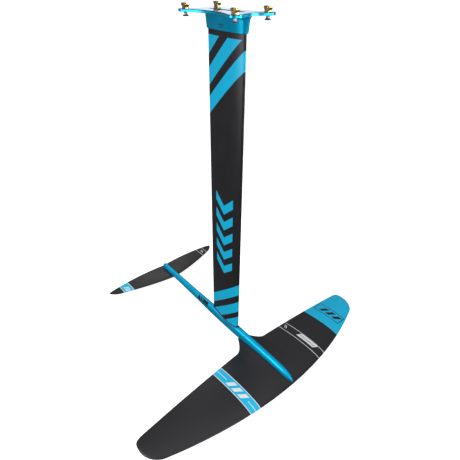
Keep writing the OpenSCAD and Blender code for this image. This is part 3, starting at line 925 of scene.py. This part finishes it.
class HYDROFOIL_OT_front_wing(Operator):
    """Front wing: sections carried along the span, with a saddle for the fuselage"""

    bl_idname = "hydrofoil.front_wing"
    bl_label = "Front wing"

    def execute(self, context):
        piece = Shell().tube(front_wing_rings()).solid("front_wing_blade")
        behind = -75.0
        ys = NOSE_Y - SADDLE_GAP + np.linspace(0.05, 15, 120) ** 2
        ys = np.append(ys[ys <= behind], behind)
        half = along_fuselage(ys + SADDLE_GAP)[:, 0] + SADDLE_GAP
        cutters = [saddle(ys, half, WING_SEAT)]
        cutters += [screw_room(y, WING_HEAD_Z, M6, 20) for y in WING_SCREW_Y]
        finish(carve(piece, cutters), "foil", ["front_wing"], front_wing_finish())
        return {"FINISHED"}


class HYDROFOIL_OT_stabiliser(Operator):
    """Stabiliser: sections carried along the span, cut to sit under the fuselage"""

    bl_idname = "hydrofoil.stabiliser"
    bl_label = "Stabiliser"

    def execute(self, context):
        piece = Shell().tube(stabiliser_rings()).solid("stabiliser_blade")
        ys = np.linspace(295, 400, 40)
        half = along_fuselage(np.minimum(ys, FUSELAGE[-1, 0]))[:, 0] + SADDLE_GAP
        cutters = [saddle(ys, half, STAB_SEAT)]
        cutters += [screw_room(y, STAB_HEAD_Z, M5, 14) for y in STAB_SCREW_Y]
        finish(carve(piece, cutters), "foil", ["stabiliser"], stabiliser_finish())
        return {"FINISHED"}


class HYDROFOIL_OT_track_nuts(Operator):
    """Track nuts: a tapered section with a valley on top, drilled for the screw"""

    bl_idname = "hydrofoil.track_nuts"
    bl_label = "Track nuts"

    def execute(self, context):
        colours = context.scene.hydrofoil_colours
        brass = metal_finish("Nut brass", colours.brass, 0.34, 0.12, shade(colours.brass, 0.38))
        flank = np.array(NUT_FLANK)
        a = np.radians(np.linspace(0, 180, 15))
        half, top, depth = NUT_VALLEY
        valley = np.stack([half * np.cos(a), top - depth * np.sin(a)], -1)
        outline = np.concatenate([flank, valley, (flank * [-1, 1])[::-1]])
        for corner, (x, y) in CORNERS.items():
            end = np.stack([0 * outline[:, 0] + x, y + outline[:, 0], SPOT_Z + outline[:, 1]], -1)
            ends = [end - [NUT_HALF, 0, 0], end + [NUT_HALF, 0, 0]]
            piece = Shell().tube(ends).solid(f"nut_{corner}_brass")
            bore = drill(x, y, M8[0] + FIT_GAP, -2, NUT_H + 3)
            finish(carve(piece, [bore]), f"nut_{corner}", [f"track_nut_{corner}"], brass, 25,
                   context.scene.hydrofoil_sizes.nut_edge / MM)
        return {"FINISHED"}


class HYDROFOIL_OT_screws(Operator):
    """Screws: countersunk heads with hexagonal keys, and real helical threads"""

    bl_idname = "hydrofoil.screws"
    bl_label = "Screws"

    def execute(self, context):
        colours = context.scene.hydrofoil_colours
        steel = metal_finish("Screw steel", colours.steel, 0.36, 0.1, shade(colours.steel, 0.55))
        for corner, (x, y) in CORNERS.items():
            rings = screw_rings(x, y, SEAT_Z - SCREW_DROP, M8, 25)
            piece = Shell().wall(rings).solid(f"screw_{corner}_steel")
            finish(piece, f"screw_{corner}", [f"plate_screw_{corner}"], steel, 40)
        rows = (
            ("mast_head_screws", MAST_SCREW_Y, POCKET_Z - HOLE_GAP, M6, 30, True),
            ("mast_foot_screws", MAST_SCREW_Y, FOOT_HEAD_Z + HOLE_GAP, M6, 35, False),
            ("front_wing_screws", WING_SCREW_Y, WING_HEAD_Z + HOLE_GAP, M6, 23, False),
            ("stabiliser_screws", STAB_SCREW_Y, STAB_HEAD_Z + HOLE_GAP, M5, 14, False),
        )
        for node, ys, z, size, reach, down in rows:
            shell = Shell()
            for y in ys:
                shell.wall(screw_rings(0, y, z, size, reach, down, 36, 5))
            finish(shell.solid(f"{node}_steel"), "foil", [node], steel, 40)
        return {"FINISHED"}


class HYDROFOIL_OT_hidden_metal(Operator):
    """Finishes the threaded blocks and inserts, whose shapes are used as they are"""

    bl_idname = "hydrofoil.hidden_metal"
    bl_label = "Blocks and inserts"

    def execute(self, context):
        colours = context.scene.hydrofoil_colours
        alloy = metal_finish("Block alloy", colours.alloy, 0.3)
        brass = metal_finish("Insert brass", colours.brass, 0.28)
        finishes = {"mast_head_insert": alloy, "mast_foot_insert": alloy,
                    "front_wing_thread_inserts": brass, "stabiliser_thread_inserts": brass}
        for node, material in finishes.items():
            for slot in frame["nodes"][node].material_slots:
                slot.material = material
        return {"FINISHED"}


class HYDROFOIL_OT_stage(Operator):
    """Stage: a plain pale floor, soft light from all round, a softbox and the camera"""

    bl_idname = "hydrofoil.stage"
    bl_label = "Stage"

    def execute(self, context):
        scene = context.scene
        sizes, colours = scene.hydrofoil_sizes, scene.hydrofoil_colours
        half, z = sizes.floor_size / 2, CAD_BOX[0][2] - sizes.floor_gap
        mesh = bpy.data.meshes.new("floor")
        square = [(x * half, y * half, z) for x, y in ((-1, -1), (1, -1), (1, 1), (-1, 1))]
        mesh.from_pydata(square, [], [(0, 1, 2, 3)])
        floor = bpy.data.objects.new("floor", mesh)
        scene.collection.objects.link(floor)
        paint = Paint("Studio floor", {"Roughness": 0.9, "Emission Color": (1, 1, 1, 1),
                                       "Emission Strength": colours.floor_glow})
        cloud = paint.noise(900, 2)
        tone = paint.mix(cloud, shade(colours.floor, 0.995), shade(colours.floor, 1.005))
        mesh.materials.append(paint.wear(base_color=tone))
        floor.visible_glossy = floor.visible_diffuse = False

        world = bpy.data.worlds.new("Studio light")
        scene.world = world
        world.use_nodes = True
        tree = world.node_tree
        sky = tree.nodes["Background"]
        height = tree.nodes.new("ShaderNodeSeparateXYZ")
        tree.links.new(tree.nodes.new("ShaderNodeTexCoord").outputs["Generated"], height.inputs[0])
        level = tree.nodes.new("ShaderNodeMapRange")
        level.inputs["From Min"].default_value = -1
        tree.links.new(height.outputs["Z"], level.inputs["Value"])
        ramp = tree.nodes.new("ShaderNodeValToRGB")
        for i, (at, grey) in enumerate(SKY):
            stop = ramp.color_ramp.elements[i] if i < 2 else ramp.color_ramp.elements.new(at)
            stop.position, stop.color = at, (grey, grey, grey, 1)
        tree.links.new(level.outputs[0], ramp.inputs[0])
        tree.links.new(ramp.outputs["Color"], sky.inputs["Color"])
        sky.inputs["Strength"].default_value = colours.ambient
        plain = tree.nodes.new("ShaderNodeBackground")
        seen = tree.nodes.new("ShaderNodeMixShader")
        tree.links.new(tree.nodes.new("ShaderNodeLightPath").outputs["Is Camera Ray"], seen.inputs[0])
        tree.links.new(sky.outputs[0], seen.inputs[1])
        tree.links.new(plain.outputs[0], seen.inputs[2])
        plain.inputs["Color"].default_value = (1, 1, 1, 1)
        tree.links.new(seen.outputs[0], tree.nodes["World Output"].inputs[0])

        for name, place, target, size, share, spread in LIGHTS:
            lamp = bpy.data.lights.new(name, "AREA")
            lamp.energy, lamp.shape = colours.key * share, "RECTANGLE"
            lamp.size, lamp.size_y = size
            lamp.spread = math.radians(spread)
            light = bpy.data.objects.new(name, lamp)
            turn = (Vector(target) - Vector(place)).to_track_quat("-Z", "Y")
            light.matrix_world = Matrix.LocRotScale(Vector(place), turn, None)
            scene.collection.objects.link(light)

        camera = bpy.data.cameras.new("camera")
        camera.lens, camera.sensor_width = CAMERA_LENS, CAMERA_SENSOR
        camera.clip_end = 500.0
        view = bpy.data.objects.new("camera", camera)
        right, ahead = Vector(CAMERA_RIGHT).normalized(), Vector(CAMERA_AHEAD).normalized()
        turn = Matrix((right, right.cross(ahead), -ahead)).transposed().to_4x4()
        roll = Matrix.Rotation(CAMERA_ROLL, 4, "Z")
        view.matrix_world = Matrix.Translation(CAMERA_PLACE) @ turn @ roll
        scene.collection.objects.link(view)
        scene.camera = view
        scene.view_settings.view_transform = "Standard"
        return {"FINISHED"}


PIECES = (
    HYDROFOIL_OT_base_plate, HYDROFOIL_OT_mast, HYDROFOIL_OT_fuselage, HYDROFOIL_OT_gasket,
    HYDROFOIL_OT_front_wing, HYDROFOIL_OT_stabiliser, HYDROFOIL_OT_track_nuts,
    HYDROFOIL_OT_screws, HYDROFOIL_OT_hidden_metal, HYDROFOIL_OT_stage,
)


class HYDROFOIL_PT_panel(Panel):
    """Lists the sizes, the colours and the operators"""

    bl_idname = "HYDROFOIL_PT_panel"
    bl_label = "Hydrofoil"
    bl_space_type = "VIEW_3D"
    bl_region_type = "UI"
    bl_category = "Hydrofoil"

    def draw(self, context):
        for group in (context.scene.hydrofoil_sizes, context.scene.hydrofoil_colours):
            for name in group.__annotations__:
                self.layout.prop(group, name)
        for piece in PIECES:
            self.layout.operator(piece.bl_idname)


CLASSES = (HYDROFOIL_PG_sizes, HYDROFOIL_PG_colours, *PIECES, HYDROFOIL_PT_panel)


def register():
    for made in CLASSES:
        bpy.utils.register_class(made)
    bpy.types.Scene.hydrofoil_sizes = PointerProperty(type=HYDROFOIL_PG_sizes)
    bpy.types.Scene.hydrofoil_colours = PointerProperty(type=HYDROFOIL_PG_colours)


def unregister():
    del bpy.types.Scene.hydrofoil_colours
    del bpy.types.Scene.hydrofoil_sizes
    for made in reversed(CLASSES):
        bpy.utils.unregister_class(made)


def main():
    register()
    for piece in PIECES:
        group, name = piece.bl_idname.split(".")
        getattr(getattr(bpy.ops, group), name)()


if __name__ == "__main__":
    main()
